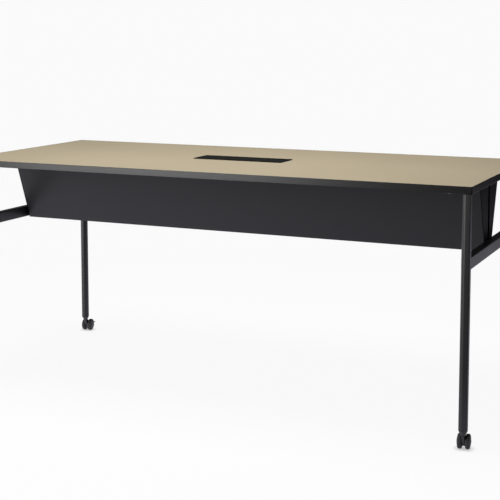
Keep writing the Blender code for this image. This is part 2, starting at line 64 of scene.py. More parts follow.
RECORD = frame["record"]
JOINTS = {joint["name"]: joint for joint in frame["joints"]}
BODY_OF = {node: body for body, nodes in RECORD["behaviour"]["bodies"].items() for node in nodes}
SLOT_OF = {part["node"]: part["material_slot"] for part in RECORD["subparts"]}
CORNERS = ("front_left", "front_right", "rear_left", "rear_right")
ENDS = {"left": -1, "right": 1}
SIDES = {"front": -1, "rear": 1}

X, Y, Z = range(3)
QUARTER = math.pi / 2
HEAD_DOWN = Matrix.Rotation(math.pi, 4, "X")

# Play between touching pieces, and how far a cutter stands out of what it cuts
FIT = 0.0003
CUTTER_MARGIN = 0.01
# Distances up to which points count as one, in a finished piece and where rounded corners meet
MERGE_DISTANCE = 0.000002
CORNER_MERGE = 0.00003
# How far the leg's round corners stop short of meeting, before their ends are merged
ROUND_SHORTFALL = 0.00001
# Angles up to which faces count as one plane, are left unrounded and are shaded as one surface
FLAT_ANGLE = math.radians(0.5)
BEVEL_ANGLE = math.radians(30)
SMOOTH_ANGLE = math.radians(40)
# The share of a direction that has to lie along an axis for the whole to count as running along it
ALONG = 0.99
# Facets of a full round, from the widest cut down to a hexagon
WIDE_ROUND = 96
WEB_ROUND = 48
BORE_ROUND = 32
PIN_ROUND = 24
RIB_ROUND = 16
HEXAGON = 6
# The caster's cone, as (share of its height, share of its flare) from the neck to the leg
CONE_FLARE = ((0, 0), (0.5, 0.53), (0.8, 0.86), (0.9, 0.95), (0.96, 0.99), (1, 1))
# Where the grip ribs lie along the pedal's foot plate
RIB_PLACES = (0.3, 0.55, 0.8)
# A screw's head, as (share of its radius, share of its height), and where its socket ends in that height
BUTTON_HEAD = ((1, 0), (1, 0.3), (0.93, 0.62), (0.78, 0.87), (0.55, 1))
SOCKET_FLOOR = 0.3
# A bolt's washer and the rounding of its head, in shares of the head's radius
WASHER = ((1.5, 0), (1.5, 0.16), (1.42, 0.22))
HEAD_BREAK = 0.08

SENSOR_WIDTH = 36
# Where the mirrored room turns from its right to its left, as the X of a direction, and from its middle
# to its sides, as that X squared
LEFT_FADE = (0.1, -0.9)
SIDE_FADE = (0.1, 0.8)
# Where the light that the floor throws on the pieces fades: along X before and behind the table, with the
# Y from which it counts as behind, and along Y at the floor's front and back
SPILL_FADE = (-1.8, 1.0)
BEHIND_FADE = (0.9, 1.9)
BEHIND = (0.3, 0.8)
FRONT_FADE = (-1.15, -0.95)
BACK_FADE = (6.0, 5.2)
# Where the floor takes on the backdrop's tone, as the distance from the table's middle squared
FAR_FADE = (3.0, 14.0)


def length(name, description, default):
    return FloatProperty(name=name, description=description, default=default, unit="LENGTH", precision=5)


def angle(name, description, degrees):
    return FloatProperty(name=name, description=description, default=math.radians(degrees), unit="ROTATION")


def colour(name, description, default):
    return FloatVectorProperty(
        name=name, description=description, default=default, subtype="COLOR", size=3, min=0, max=1
    )


def position(name, description, default):
    return FloatVectorProperty(name=name, description=description, default=default, subtype="TRANSLATION")


def fraction(name, description, default):
    return FloatProperty(name=name, description=description, default=default, min=0, max=1)


def amount(name, description, default):
    return FloatProperty(name=name, description=description, default=default, min=0)


class TableSizes(bpy.types.PropertyGroup):
    """Roundings, sheet sizes and fittings of the top, trough and frame"""

    band_wall: length("Band wall", "Thickness of the edge band", 0.003)
    band_corner: length("Band corner", "Radius of the top's upright corners", 0.0053)
    band_arris: length("Band arris", "Rounding along the edge band's arrises", 0.0009)
    laminate_break: length("Laminate break", "Rounding of the laminate's edges", 0.00025)
    access_wall: length("Access wall", "Wall of the cable access liner", 0.0035)
    access_ledge: length("Access ledge", "Width of the ledge under the lid's front edge", 0.007)
    lid_break: length("Lid break", "Rounding of the lid's edges", 0.0009)
    notch_width: length("Notch width", "Width of the lid's finger notch", 0.024)
    notch_depth: length("Notch depth", "Depth of the lid's finger notch", 0.007)
    sheet: length("Sheet", "Thickness of the trough's sheet metal", 0.002)
    floor_bend: length("Floor bend", "How far the folds of the trough's floor reach along the sheet", 0.0035)
    fascia_bend: length("Fascia bend", "How far the fascias' sharper folds reach along the sheet", 0.006)
    flange: length("Flange", "Width of the flanges that the trough hangs by", 0.03)
    edge_break: length("Edge break", "Rounding of cut sheet edges", 0.0004)
    slot_width: length("Slot width", "Width of the end plates' cable slots", 0.028)
    slot_sill: length("Slot sill", "Height of the slots' lower end above the trough's bottom", 0.042)
    slot_corner: length("Slot corner", "Radius at the slots' lower end", 0.010)
    pad_width: length("Pad width", "Width of the end plates' bolting pads", 0.08)
    pad_height: length("Pad height", "Height of the end plates' bolting pads", 0.036)
    pad_corner: length("Pad corner", "Radius of the pads' corners", 0.005)
    end_plate: length("End plate", "Thickness of the end plates", 0.003)
    leg_wall: length("Leg wall", "Wall of the leg tube", 0.002)
    leg_corner: length("Leg corner", "Radius of the leg's one square corner", 0.003)
    bar_corner: length("Bar corner", "Radius of the crossbar's corners", 0.0045)
    plate_corner: length("Plate corner", "Radius of the leg plates' corners", 0.006)
    drain: length("Drain", "Diameter of the crossbars' drain holes", 0.008)
    drain_spacing: length("Drain spacing", "Distance between a crossbar's drain holes", 0.72)
    screw_head: length("Screw head", "Diameter of the screw heads", 0.009)
    screw_rise: length("Screw rise", "Height of the screw heads", 0.0026)
    screw_socket: length("Screw socket", "Width of the screws' hexagon sockets", 0.004)
    screw_inset: length("Screw inset", "Distance of a leg plate's screws from its edges", 0.014)
    bolt_head: length("Bolt head", "Diameter of the pads' bolt heads", 0.013)
    bolt_spacing: length("Bolt spacing", "Distance between a pad's bolts", 0.05)
    flange_screws: IntProperty(name="Flange screws", description="Screws along each flange", default=9, min=2)


class CasterSizes(bpy.types.PropertyGroup):
    """Sizes of the twin-wheel casters"""

    neck: length("Neck", "Diameter of the cone's lower end", 0.011)
    neck_height: length("Neck height", "Height of the cone's lower end above the floor", 0.057)
    web: length("Web", "Width of the web between the wheels", 0.012)
    web_hub: length("Web hub", "Diameter of the web round the axle", 0.039)
    lug: length("Lug", "Diameter of the web round the pedal's pin", 0.012)
    stem: length("Stem", "Diameter of the swivel stem", 0.011)
    stem_depth: length("Stem depth", "How far the stem reaches into the fork", 0.022)
    collar: length("Collar", "Diameter of the stem's collar", 0.019)
    collar_height: length("Collar height", "Height of the stem's collar", 0.0015)
    axle: length("Axle", "Diameter of the axle", 0.008)
    axle_reach: length("Axle reach", "How far the axle reaches into each wheel", 0.009)
    wheel_gap: length("Wheel gap", "Distance between the twin wheels", 0.014)
    tread: length("Tread", "Thickness of the tyre", 0.0065)
    tread_width: length("Tread width", "Width of the tyre", 0.018)
    shoulder: length("Shoulder", "Rounding of the tyre's shoulders", 0.0062)
    dome: length("Dome", "How far the hub's face bulges out of the tyre", 0.0036)
    groove: length("Groove", "Radius of the ring groove in the hub's face", 0.0196)
    groove_width: length("Groove width", "Width of the ring groove", 0.0014)
    groove_depth: length("Groove depth", "Depth of the ring groove", 0.0006)
    groove_draft: length("Groove draft", "How far the groove's walls lean", 0.0002)
    cap: length("Cap", "Radius of the cap in the middle of the hub", 0.0072)
    cap_rise: length("Cap rise", "How far the cap stands out of the hub's face", 0.0004)
    boss: length("Boss", "Diameter of the pedal's boss", 0.009)
    pin: length("Pin", "Diameter of the pedal's pin", 0.004)
    pin_length: length("Pin length", "Length of the pedal's pin", 0.010)
    arm: length("Arm", "Width of the pedal's arm", 0.006)
    arm_length: length("Arm length", "Length of the pedal's arm", 0.0205)
    arm_drop: angle("Arm drop", "Slope of the pedal's arm", 10)
    foot: length("Foot", "Width of the pedal's foot plate", 0.044)
    foot_length: length("Foot length", "Length of the pedal's foot plate", 0.015)
    foot_thickness: length("Foot thickness", "Thickness of the pedal's foot plate", 0.0035)
    foot_corner: length("Foot corner", "Radius of the foot plate's corners", 0.004)
    foot_drop: angle("Foot drop", "Slope of the pedal's foot plate", 24)
    rib: length("Rib", "Diameter of the foot plate's grip ribs", 0.0014)
    rib_margin: length("Rib margin", "How far the ribs end short of the foot plate's sides", 0.003)
    play: length("Play", "Room for the pedal in the fork's slot", 0.0005)
    boss_play: length("Boss play", "Room behind the pedal's boss", 0.002)
    moulding_break: length("Moulding break", "Rounding of the mouldings' edges", 0.0008)
    steps: IntProperty(name="Steps", description="Facets of the turned pieces", default=72, min=12)


class TableColours(bpy.types.PropertyGroup):
    """Base colours of the finishes"""

    laminate_light: colour("Laminate, light", "Lighter tone of the tan laminate", (0.285, 0.243, 0.170))
    laminate_dark: colour("Laminate, dark", "Darker tone of the tan laminate", (0.250, 0.211, 0.145))
    edge: colour("Edge band", "Colour of the edge band", (0.009, 0.009, 0.010))
    coat: colour("Powder coat", "Colour of the coated steel", (0.0050, 0.0049, 0.0060))
    panel: colour("Trough", "Colour of the trough's coat", (0.0074, 0.0076, 0.0090))
    moulding: colour("Moulding", "Colour of the cable access", (0.0115, 0.0115, 0.0112))
    backer: colour("Backer", "Colour of the sheet under the top", (0.012, 0.012, 0.013))
    nylon: colour("Nylon", "Colour of the casters' mouldings", (0.028, 0.027, 0.028))
    rubber: colour("Rubber", "Colour of the tyres", (0.036, 0.035, 0.036))
    dust: colour("Dust", "Colour of the dust in the tyres' tread", (0.10, 0.098, 0.094))
    steel: colour("Steel", "Colour of bright steel", (0.52, 0.52, 0.53))
    board_light: colour("Board, light", "Lighter chips of the core board", (0.42, 0.30, 0.18))
    board_dark: colour("Board, dark", "Darker chips of the core board", (0.22, 0.14, 0.08))


class StageSettings(bpy.types.PropertyGroup):
    """Camera, light and floor"""

    eye: position("Eye", "Where the camera stands", (2.3217, -5.0608, 1.6660))
    yaw: angle("Yaw", "How far the camera is turned to the left", 24.295)
    pitch: angle("Pitch", "How far the camera looks down", 5.756)
    lens: FloatProperty(name="Lens", description="Focal length in millimetres", default=86.31)
    rise: FloatProperty(name="Rise", description="Vertical shift of the camera", default=-0.20)
    floor_reach: length("Floor reach", "How far the floor runs from the table's middle", 12.0)
    floor_tone: fraction("Floor tone", "Grey of the floor in the picture", 0.04)
    floor_bounce: fraction("Floor bounce", "Grey of the floor in what the pieces mirror", 0.25)
    floor_glow: fraction("Floor glow", "Share of the backdrop's brightness that the floor has", 0.975)
    # Depth of the floor's painted contact shadow: its glow falls to this share where a wheel stands.
    contact_shadow_tone: fraction("Contact tone", "Share of that brightness that is left where a wheel stands", 0.38)
    contact_reach: length("Contact reach", "How far the shade of what stands on the floor spreads", 0.024)
    spill_left: colour("Spill, left", "Light that the floor throws at the left", (0.80, 0.795, 0.916))
    spill_right: colour("Spill, right", "Light that the floor throws at the right", (0.420, 0.411, 0.484))
    backdrop: amount("Backdrop", "Brightness of the background in the picture", 0.957)
    room_left: fraction("Room, left", "Brightness of the mirrored room to the left", 0.42)
    room_right: fraction("Room, right", "Brightness of the mirrored room to the right", 0.45)
    room_middle: fraction("Room, middle", "Brightness of the mirrored room before and behind the table", 0.05)
    key_watts: amount("Key", "Power of the upright soft box in watts", 272.0)
    key_place: position("Key place", "Middle of the upright soft box", (-3.35, -6.2, 1.3))
    key_width: length("Key width", "Width of the upright soft box", 2.85)
    key_height: length("Key height", "Height of the upright soft box", 2.6)
    side_watts: amount("Side light", "Power of the soft box to the left in watts", 45.0)
    side_place: position("Side light place", "Middle of the soft box to the left", (-4.8, -1.7, 0.9))
    side_width: length("Side light width", "Width of the soft box to the left", 2.4)
    side_height: length("Side light height", "Height of the soft box to the left", 1.7)
    top_watts: amount("Top light", "Power of the overhead soft box in watts", 176.0)
    top_place: position("Top light place", "Middle of the overhead soft box", (-0.1, -0.5, 3.8))
    top_width: length("Top light width", "Width of the overhead soft box", 2.8)
    top_depth: length("Top light depth", "Depth of the overhead soft box", 1.8)


# Modelling by hand


def only(piece):
    """Makes this the one selected and active object."""
    bpy.ops.object.select_all(action="DESELECT")
    piece.select_set(True)
    bpy.context.view_layer.objects.active = piece


def settled(name):
    """Names the active object and puts its place, turn and size into its mesh."""
    piece = bpy.context.object
    piece.name = piece.data.name = name
    bpy.ops.object.transform_apply(location=True, rotation=True, scale=True)
    return piece


def box(name, low, high):
    bpy.ops.object.select_all(action="DESELECT")
    low, high = Vector(low), Vector(high)
    bpy.ops.mesh.primitive_cube_add(size=1, location=(low + high) / 2, scale=high - low)
    return settled(name)


def rod(name, radius, start, end, steps):
    """A cylinder between two points on a line along X, Y or Z."""
    bpy.ops.object.select_all(action="DESELECT")
    start, end = Vector(start), Vector(end)
    turn = (end - start).to_track_quat("Z", "Y").to_euler()
    bpy.ops.mesh.primitive_cylinder_add(
        vertices=steps, radius=radius, depth=(end - start).length, location=(start + end) / 2, rotation=turn
    )
    return settled(name)


class Editing:
    """Edit mode on one piece, in which points, edges or faces are picked by a test."""

    def __init__(self, piece, kind):
        self.piece = piece
        self.kind = kind

    def __enter__(self):
        only(self.piece)
        bpy.ops.object.mode_set(mode="EDIT")
        bpy.ops.mesh.select_mode(type=self.kind)
        bpy.ops.mesh.select_all(action="DESELECT")
        return self

    def __exit__(self, *error):
        bpy.ops.object.mode_set(mode="OBJECT")

    def pick(self, test):
        shape = bmesh.from_edit_mesh(self.piece.data)
        parts = {"VERT": shape.verts, "EDGE": shape.edges, "FACE": shape.faces}[self.kind]
        for part in parts:
            part.select_set(bool(test(part)))
        bmesh.update_edit_mesh(self.piece.data)

    def pick_all(self):
        bpy.ops.mesh.select_all(action="SELECT")

    def merge(self, distance):
        """Merges all points that lie as close as this, and leaves them picked."""
        self.pick_all()
        bpy.ops.mesh.remove_doubles(threshold=distance)
        self.pick_all()


def span(edge):
    """From one end of an edge to the other."""
    return edge.verts[1].co - edge.verts[0].co


def middle(edge):
    return (edge.verts[0].co + edge.verts[1].co) / 2


def runs_along(edge, axis):
    step = span(edge)
    return abs(step[axis]) > ALONG * step.length


def is_upright(edge):
    return runs_along(edge, Z)


def is_level(face):
    """Whether a face looks up or down."""
    return abs(face.normal.z) > 0.5


def round_edges(piece, test, radius, steps):
    """Rounds the edges that pass a test."""
    with Editing(piece, "EDGE") as edit:
        edit.pick(test)
        bpy.ops.mesh.bevel(
            offset=radius,
            offset_type="OFFSET",
            segments=steps,
            profile=0.5,
            affect="EDGES",
            clamp_overlap=False,
        )
        edit.merge(CORNER_MERGE)


def remove_faces(piece, test):
    with Editing(piece, "FACE") as edit:
        edit.pick(test)
        bpy.ops.mesh.delete(type="FACE")


def modify(piece, kind, **settings):
    """Adds a modifier with its settings and applies it."""
    only(piece)
    bpy.ops.object.modifier_add(type=kind)
    modifier = piece.modifiers[-1]
    for name, value in settings.items():
        setattr(modifier, name, value)
    bpy.ops.object.modifier_apply(modifier=modifier.name)


def cut(piece, tool):
    modify(piece, "BOOLEAN", operation="DIFFERENCE", object=tool)
    bpy.data.objects.remove(tool)


def unite(piece, tool):
    modify(piece, "BOOLEAN", operation="UNION", object=tool)
    bpy.data.objects.remove(tool)


def break_edges(piece, radius, steps=2):
    """Rounds every edge that is still sharp."""
    modify(piece, "BEVEL", width=radius, segments=steps, limit_method="ANGLE", angle_limit=BEVEL_ANGLE)


def shade(piece):
    """Clears faces without area, shades rounded edges smooth and keeps flat faces flat."""
    with Editing(piece, "VERT") as edit:
        edit.merge(MERGE_DISTANCE)
        bpy.ops.mesh.dissolve_degenerate(threshold=MERGE_DISTANCE)
    bpy.ops.object.shade_smooth_by_angle(angle=SMOOTH_ANGLE)
    modify(piece, "WEIGHTED_NORMAL", keep_sharp=True)


def thicken(piece, wall):
    """Gives an open sheet its wall, on the side away from its normals."""
    modify(piece, "SOLIDIFY", thickness=wall, offset=-1, use_even_offset=True)


def arc(centre, radius, start, end, steps):
    """Points on an arc between two angles, both ends included."""
    angles = [start + (end - start) * step / steps for step in range(steps + 1)]
    return [(centre[0] + radius * math.cos(turn), centre[1] + radius * math.sin(turn)) for turn in angles]


def lathe(name, profile, steps):
    """A chain of (radius, height) points spun about Z."""
    bpy.ops.object.select_all(action="DESELECT")
    bpy.ops.mesh.primitive_plane_add(size=1)
    piece = settled(name)
    with Editing(piece, "VERT") as edit:
        edit.pick_all()
        bpy.ops.mesh.merge(type="CENTER")
        here = Vector((0, 0, 0))
        for index, (radius, height) in enumerate(profile):
            there = Vector((radius, 0, height))
            if index == 0:
                bpy.ops.transform.translate(value=there)
            else:
                bpy.ops.mesh.extrude_vertices_move(TRANSFORM_OT_translate={"value": there - here})
            here = there
        edit.merge(MERGE_DISTANCE)
        bpy.ops.mesh.spin(steps=steps, angle=2 * math.pi, center=(0, 0, 0), axis=(0, 0, 1))
        edit.merge(MERGE_DISTANCE)
        bpy.ops.mesh.normals_make_consistent(inside=False)
    return piece


def shrink_wrap(name, rods):
    """The solid inside a sheet pulled tight round a few rods along X; each is (y, z, radius, width)."""
    pieces = []
    for y, z, radius, width in rods:
        pieces.append(rod(name, radius, (-width / 2, y, z), (width / 2, y, z), WEB_ROUND))
    piece = joined(pieces, name)
    with Editing(piece, "VERT") as edit:
        edit.pick_all()
        bpy.ops.mesh.convex_hull()
        edit.pick_all()
        bpy.ops.mesh.dissolve_limited(angle_limit=FLAT_ANGLE)
    return piece


def copy_of(master, name, place):
    """A copy with its own mesh, with its place put into that mesh."""
    only(master)
    bpy.ops.object.duplicate(linked=False)
    bpy.context.object.matrix_world = place
    return settled(name)


def joined(pieces, name):
    bpy.ops.object.select_all(action="DESELECT")
    for piece in pieces:
        piece.select_set(True)
    bpy.context.view_layer.objects.active = pieces[0]
    bpy.ops.object.join()
    return settled(name)


# Finishes


class Wire:
    """An output of a shader node, on which sums and products add Math nodes."""

    def __init__(self, nodes, socket):
        self.nodes = nodes
        self.socket = socket

    def math(self, operation, first, second):
        return self.nodes.node("ShaderNodeMath", {"operation": operation}, {0: first, 1: second})

    def __add__(self, other):
        return self.math("ADD", self, other)

    __radd__ = __add__

    def __sub__(self, other):
        return self.math("SUBTRACT", self, other)

    def __rsub__(self, other):
        return self.math("SUBTRACT", other, self)

    def __mul__(self, other):
        return self.math("MULTIPLY", self, other)

    __rmul__ = __mul__

    def within(self, low, high):
        """Where it lies between two values, from 0 to 1."""
        sockets = {"Value": self, "From Min": low, "From Max": high}
        return self.nodes.node("ShaderNodeMapRange", {"clamp": True}, sockets)


class Nodes:
    """A node tree, with one way to add a node."""

    def __init__(self, tree):
        self.tree = tree

    def node(self, kind, settings, sockets, output=0):
        made = self.tree.nodes.new(kind)
        for name, value in settings.items():
            setattr(made, name, value)
        for key, value in sockets.items():
            self.plug(made.inputs[key], value)
        return Wire(self, made.outputs[output])

    def plug(self, socket, value):
        if isinstance(value, Wire):
            self.tree.links.new(value.socket, socket)
        else:
            socket.default_value = value

    def mix(self, share, first, second):
        sockets = {0: share, 6: opaque(first), 7: opaque(second)}
        return self.node("ShaderNodeMix", {"data_type": "RGBA"}, sockets, 2)


class Finish(Nodes):
    """A material in the making: its shader, and what feeds it."""

    def __init__(self, name, **constants):
        self.material = bpy.data.materials.new(f"{name}_finish")
        self.material.use_nodes = True
        super().__init__(self.material.node_tree)
        self.shader = self.tree.nodes["Principled BSDF"]
        for socket, value in constants.items():
            self.shader.inputs[socket.replace("_", " ")].default_value = value

    def feed(self, name, value):
        self.plug(self.shader.inputs[name], value)

    def place(self, stretch=(1, 1, 1)):
        """The point on the piece, with each axis stretched."""
        point = self.node("ShaderNodeTexCoord", {}, {}, "Object")
        return self.node("ShaderNodeMapping", {"vector_type": "POINT"}, {"Vector": point, "Scale": stretch})

    def noise(self, scale, detail=2.0, roughness=0.5, stretch=(1, 1, 1)):
        sockets = {"Vector": self.place(stretch), "Scale": scale, "Detail": detail, "Roughness": roughness}
        return self.node("ShaderNodeTexNoise", {}, sockets)

    def tint(self, share, tone, spread):
        """A tone, darker and lighter by a share of itself."""
        return self.mix(share.within(0, 1), shaded(tone, 1 - spread), shaded(tone, 1 + spread))

    def made_of(self, tone, roughness, relief, depth, strength):
        """The material, once its colour, its roughness and its relief are fed."""
        self.feed("Base Color", tone)
        self.feed("Roughness", roughness)
        sockets = {"Height": relief, "Distance": depth, "Strength": strength}
        self.feed("Normal", self.node("ShaderNodeBump", {}, sockets))
        return self.material


def around(middle_value, *parts):
    """A value that noise moves to either side; each part is a noise from 0 to 1 and how far it moves."""
    value = middle_value
    for noise, reach in parts:
        value = value + (noise - 0.5) * reach
    return value


def opaque(value):
    """A colour as a socket takes it; a wire stays as it is."""
    return value if isinstance(value, Wire) else (*value, 1.0)


def grey(tone):
    return (tone, tone, tone)


def shaded(tone, share):
    return tuple(channel * share for channel in tone)


def tan_laminate(colours):
    """Matte tan laminate with a faint cloudy tone, fine flecks and a finely pebbled face."""
    finish = Finish("tan_laminate", Specular_IOR_Level=0.16, IOR=1.45)
    cloud = finish.noise(2.6, detail=3.0)
    fleck = finish.noise(620.0, roughness=0.6)
    pebble = finish.noise(900.0)
    share = around(0.5, (cloud, 0.8), (fleck, 0.9))
    tone = finish.mix(share.within(0, 1), colours.laminate_dark, colours.laminate_light)
    roughness = around(0.62, (cloud, 0.10), (fleck, 0.08))
    return finish.made_of(tone, roughness, pebble, depth=0.00005, strength=0.5)


def black_edge(colours):
    """Satin edge band, drawn lengthwise, so that faint streaks run along it."""
    finish = Finish("black_edge", Specular_IOR_Level=0.28)
    streak = finish.noise(5.0, detail=3.0, roughness=0.55, stretch=(0.6, 0.6, 160.0))
    grain = finish.noise(1100.0)
    tone = finish.tint(around(0.5, (streak, 0.7), (grain, 0.4)), colours.edge, 0.12)
    roughness = around(0.30, (streak, 0.08), (grain, 0.05))
    return finish.made_of(tone, roughness, grain, depth=0.00003, strength=0.5)


def charcoal_coat(colours):
    """Satin powder coat with the soft pebble of sprayed powder."""
    finish = Finish("charcoal_coat", Specular_IOR_Level=0.50)
    pebble = finish.noise(520.0, roughness=0.45)
    fine = finish.noise(1900.0, detail=1.0)
    cloud = finish.noise(4.0)
    tone = finish.tint(around(0.5, (cloud, 0.6), (fine, 0.5)), colours.coat, 0.14)
    relief = pebble * 0.8 + fine * 0.2
    roughness = around(0.40, (cloud, 0.08), (fine, 0.06))
    return finish.made_of(tone, roughness, relief, depth=0.00006, strength=0.55)


def black_panel(colours, name="black_panel", gloss=0.50):
    """Satin powder coat of the trough, coarser than the frame's."""
    finish = Finish(name, Specular_IOR_Level=gloss)
    pebble = finish.noise(420.0)
    cloud = finish.noise(3.0)
    tone = finish.tint(around(0.5, (cloud, 0.6), (pebble, 0.5)), colours.panel, 0.12)
    roughness = around(0.42, (cloud, 0.06), (pebble, 0.06))
    return finish.made_of(tone, roughness, pebble, depth=0.00006, strength=0.5)


def dull_panel(colours):
    """The same coat on the trough's ends, where it has less gloss."""
    return black_panel(colours, "dull_panel", 0.03)


def black_moulding(colours):
    """Plastic with the fine spark-eroded grain of its mould."""
    finish = Finish("black_moulding", Specular_IOR_Level=0.0)
    grain = finish.noise(1400.0, roughness=0.6)
    cloud = finish.noise(9.0)
    tone = finish.tint(around(0.5, (cloud, 0.5), (grain, 0.6)), colours.moulding, 0.15)
    roughness = around(0.72, (grain, 0.14))
    return finish.made_of(tone, roughness, grain, depth=0.00006, strength=0.6)


def black_sheet(colours):
    """The plain balancing sheet under the top."""
    finish = Finish("black_sheet", Specular_IOR_Level=0.2)
    grain = finish.noise(800.0)
    cloud = finish.noise(3.0, detail=3.0)
    tone = finish.tint(around(0.5, (cloud, 0.8), (grain, 0.4)), colours.backer, 0.15)
    roughness = around(0.6, (cloud, 0.12))
    return finish.made_of(tone, roughness, grain, depth=0.00004, strength=0.4)


def black_nylon(colours):
    """Moulded nylon with a low, slightly uneven gloss."""
    finish = Finish("black_nylon", Specular_IOR_Level=0.34)
    skin = finish.noise(260.0)
    grain = finish.noise(2200.0, detail=1.0)
    tone = finish.tint(around(0.5, (skin, 0.7)), colours.nylon, 0.15)
    relief = grain * 0.6 + skin * 0.4
    roughness = around(0.42, (skin, 0.14), (grain, 0.06))
    return finish.made_of(tone, roughness, relief, depth=0.00004, strength=0.5)


def rubber(colours):
    """Soft tread with a little floor dust in its pores."""
    finish = Finish("rubber", Specular_IOR_Level=0.24)
    pores = finish.noise(900.0, detail=3.0, roughness=0.6)
    wear = finish.noise(60.0, detail=3.0)
    dusty = (wear * 0.5 + pores * 0.5).within(0.52, 0.75) * 0.16
    tone = finish.mix(dusty, colours.rubber, colours.dust)
    roughness = around(0.68, (wear, 0.16))
    return finish.made_of(tone, roughness, pores, depth=0.00008, strength=0.5)


def steel(colours):
    """Bright drawn steel with fine lines across and faint tarnish."""
    finish = Finish("steel", Metallic=1.0)
    lines = finish.noise(30.0, detail=3.0, roughness=0.6, stretch=(1.0, 1.0, 60.0))
    tarnish = finish.noise(180.0, detail=3.0)
    tone = finish.mix(tarnish.within(0.35, 0.7), colours.steel, shaded(colours.steel, 0.72))
    roughness = around(0.30, (lines, 0.16), (tarnish, 0.12))
    return finish.made_of(tone, roughness, lines, depth=0.00002, strength=0.4)


def board(colours):
    """Pressed chips of wood, as a cut core board shows them."""
    finish = Finish("board", Specular_IOR_Level=0.2)
    chips = finish.node("ShaderNodeTexVoronoi", {}, {"Vector": finish.place(), "Scale": 260.0}, "Color")
    chip = finish.node("ShaderNodeSeparateColor", {}, {"Color": chips}, "Red")
    fibre = finish.noise(140.0, detail=4.0, roughness=0.6, stretch=(1.0, 1.0, 3.0))
    share = chip * 0.7 + fibre * 0.3
    tone = finish.mix(share.within(0.1, 0.9), colours.board_dark, colours.board_light)
    roughness = around(0.8, (fibre, 0.2))
    return finish.made_of(tone, roughness, share, depth=0.0002, strength=0.6)


FINISHES = {
    make.__name__: make
    for make in (
        tan_laminate,
        black_edge,
        charcoal_coat,
        black_panel,
        dull_panel,
        black_moulding,
        black_sheet,
        black_nylon,
        rubber,
        steel,
        board,
    )
}


def finish_of(slot):
    """The material of a slot, made when it is first asked for."""
    return bpy.data.materials.get(f"{slot}_finish") or FINISHES[slot](bpy.context.scene.table_colours)


def coated(piece, slot):
    piece.data.materials.clear()
    piece.data.materials.append(finish_of(slot))


def stands_for(piece, node):
    """The piece takes a node's place, body and finish."""
    coated(piece, SLOT_OF[node])
    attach(piece, BODY_OF[node])
    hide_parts(node)


def rides_with(piece, node, slot):
    """The piece is added to a node's body, with a finish of its own."""
    coated(piece, slot)
    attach(piece, BODY_OF[node])


def keep_solid(node):
    """A solid whose shape is right stays, with its finish."""
    for slot in frame["nodes"][node].material_slots:
        slot.material = finish_of(SLOT_OF[node])


# Table top and cable access


def dress_laminate(sizes):
    """The tan sheet, with the opening for the cable access cut out of it."""
    low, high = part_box("top_laminate")
    liner_low, liner_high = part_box("access_liner")
    hole = ((liner_low.x - FIT, liner_low.y - FIT), (liner_high.x + FIT, liner_high.y + FIT))
    piece = box("laminate_sheet", low, high)
    round_edges(piece, is_upright, sizes.band_corner - sizes.band_wall - FIT, steps=4)

    def is_in_hole(face):
        centre = face.calc_center_median()
        return all(hole[0][axis] < centre[axis] < hole[1][axis] for axis in (X, Y))

    with Editing(piece, "FACE") as edit:
        for corner in hole:
            for axis in (X, Y):
                at = Vector((0, 0, 0))
                across = Vector((0, 0, 0))
                at[axis] = corner[axis]
                across[axis] = 1
                edit.pick_all()
                bpy.ops.mesh.bisect(plane_co=at, plane_no=across)
        edit.pick(is_in_hole)
        bpy.ops.mesh.delete(type="FACE")
    with Editing(piece, "EDGE") as edit:
        edit.pick(lambda edge: edge.is_boundary)
        bpy.ops.mesh.bridge_edge_loops()
    break_edges(piece, sizes.laminate_break)
    shade(piece)
    stands_for(piece, "top_laminate")


def dress_band(sizes):
    """The band drawn round the top's edge, with rounded corners and softened arrises."""
    piece = box("edge_banding", *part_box("edge_band"))
    remove_faces(piece, is_level)
    round_edges(piece, is_upright, sizes.band_corner, steps=8)
    thicken(piece, sizes.band_wall)
    break_edges(piece, sizes.band_arris, steps=3)
    shade(piece)
    stands_for(piece, "edge_band")


def cut_hinge_holes(piece):
    """Holes for the two hinge pins."""
    for end in ENDS:
        low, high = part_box(f"{end}_hinge_pin")
        centre = (low + high) / 2
        reach = Vector(((high.x - low.x) / 2 + FIT, 0, 0))
        radius = (high.z - low.z) / 2 + FIT
        cut(piece, rod("hinge_hole", radius, centre - reach, centre + reach, PIN_ROUND))


def dress_liner(sizes):
    """The frame in the opening, with a pocket for the flap and a ledge under the flap's front edge."""
    low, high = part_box("access_liner")
    lid_low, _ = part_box("access_lid")
    wall = Vector((sizes.access_wall, sizes.access_wall, 0))
    inner_low, inner_high = low + wall, high - wall
    ledge = inner_low.y + sizes.access_ledge
    below, above = low.z - CUTTER_MARGIN, high.z + CUTTER_MARGIN
    far_corner = (inner_high.x, inner_high.y, above)
    piece = box("access_frame", low, high)
    cut(piece, box("pocket", (inner_low.x, inner_low.y, lid_low.z - FIT), far_corner))
    cut(piece, box("throat", (inner_low.x, ledge, below), far_corner))
    break_edges(piece, sizes.edge_break)
    cut_hinge_holes(piece)
    shade(piece)
    stands_for(piece, "access_liner")


def dress_lid(sizes):
    """The flap over the opening, with a round finger notch in its front edge."""
    low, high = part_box("access_lid")
    piece = box("access_flap", low, high)
    depth = sizes.notch_depth
    radius = (sizes.notch_width**2 / 4 + depth**2) / (2 * depth)
    centre = low.y + depth - radius
    under, above = low.z - CUTTER_MARGIN, high.z + CUTTER_MARGIN
    cut(piece, rod("notch", radius, (0, centre, under), (0, centre, above), WIDE_ROUND))
    break_edges(piece, sizes.lid_break, steps=3)
    cut_hinge_holes(piece)
    shade(piece)
    stands_for(piece, "access_lid")


# Cable trough


def foot_half(node):
    """How far out the lower arris of a piece of the trough lies."""
    low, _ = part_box(node)
    return max(abs(point.co.y) for point in frame["nodes"][node].data.vertices if point.co.z < low.z + FIT)


